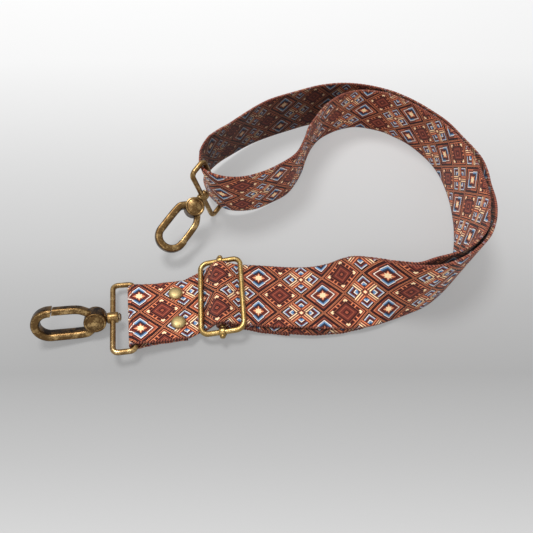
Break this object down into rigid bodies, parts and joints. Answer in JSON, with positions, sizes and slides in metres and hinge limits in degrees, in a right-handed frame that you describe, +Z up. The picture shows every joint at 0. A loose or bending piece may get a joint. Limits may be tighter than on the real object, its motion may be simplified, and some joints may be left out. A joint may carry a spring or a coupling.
{
  "type": "detachable bag strap",
  "caption": "Adjustable printed webbing strap with a slider, riveted ring end and swivel snap hooks, lying with its long curve standing on edge.",
  "frame": {"origin": "middle of the whole strap's footprint, on the table that it lies on", "axes": "+Z is up from the table, +X runs along the flat strands from ring 1 and the slider toward the standing curve, +Y points away from the viewer across the curve"},
  "size_m": [0.2416, 0.1924, 0.0459],
  "materials": {
    "webbing": "woven, printed",
    "antique_brass": "antiqued satin",
    "dark_steel": "darkened"
  },
  "bodies": {
    "strap": {"webbing_main": "webbing", "webbing_straight": "webbing", "webbing_return": "webbing", "webbing_riveted_end": "webbing", "rivet_cap_1": "antique_brass", "rivet_cap_2": "antique_brass", "rivet_post_1": "antique_brass", "rivet_post_2": "antique_brass"},
    "slider": {"slider_frame": "antique_brass", "slider_centre_bar": "antique_brass", "webbing_wrap": "webbing"},
    "ring_1": {"ring_1": "antique_brass"},
    "ring_2": {"ring_2": "antique_brass"},
    "hook_1": {"hook_body_1": "antique_brass", "swivel_post_1": "dark_steel", "gate_pin_1": "dark_steel"},
    "hook_2": {"hook_body_2": "antique_brass", "swivel_post_2": "dark_steel", "gate_pin_2": "dark_steel"},
    "gate_1": {"gate_1": "antique_brass"},
    "gate_2": {"gate_2": "antique_brass"}
  },
  "joints": [
    {"name": "slider_slide", "type": "slide", "parent": "strap", "child": "slider", "axis": [0.9997, 0.0262, 0], "range_m": [-0.002, 0.026], "deforming": ["webbing_straight", "webbing_return"]},
    {"name": "ring_1_hinge", "type": "hinge", "parent": "strap", "child": "ring_1", "pos_m": [-0.07193, -0.07254, 0.0058], "axis": [-0.2073, 0.9751, -0.0785], "range_deg": [-120, 120]},
    {"name": "ring_2_hinge", "type": "hinge", "parent": "strap", "child": "ring_2", "pos_m": [-0.03431, 0.00581, 0.02452], "axis": [-0.1629, -0.1789, 0.9703], "range_deg": [-68, 16]},
    {"name": "hook_1_swivel", "type": "hinge", "parent": "ring_1", "child": "hook_1", "pos_m": [-0.08242, -0.07465, 0.00728], "axis": [-0.9711, -0.1954, 0.137], "continuous": true},
    {"name": "hook_2_swivel", "type": "hinge", "parent": "ring_2", "child": "hook_2", "pos_m": [-0.04027, -0.00281, 0.02193], "axis": [-0.5516, -0.7988, -0.2399], "continuous": true},
    {"name": "gate_1_hinge", "type": "hinge", "parent": "hook_1", "child": "gate_1", "pos_m": [-0.09061, -0.0753, 0.01039], "axis": [-0.2365, 0.8649, -0.4426], "range_deg": [-22, 0], "stiffness_Nm_per_rad": 0.004, "springref_deg": 20.05},
    {"name": "gate_2_hinge", "type": "hinge", "parent": "hook_2", "child": "gate_2", "pos_m": [-0.04326, -0.01045, 0.01879], "axis": [0.3089, -0.4628, 0.8309], "range_deg": [-22, 0], "stiffness_Nm_per_rad": 0.004, "springref_deg": 20.05}
  ]
}
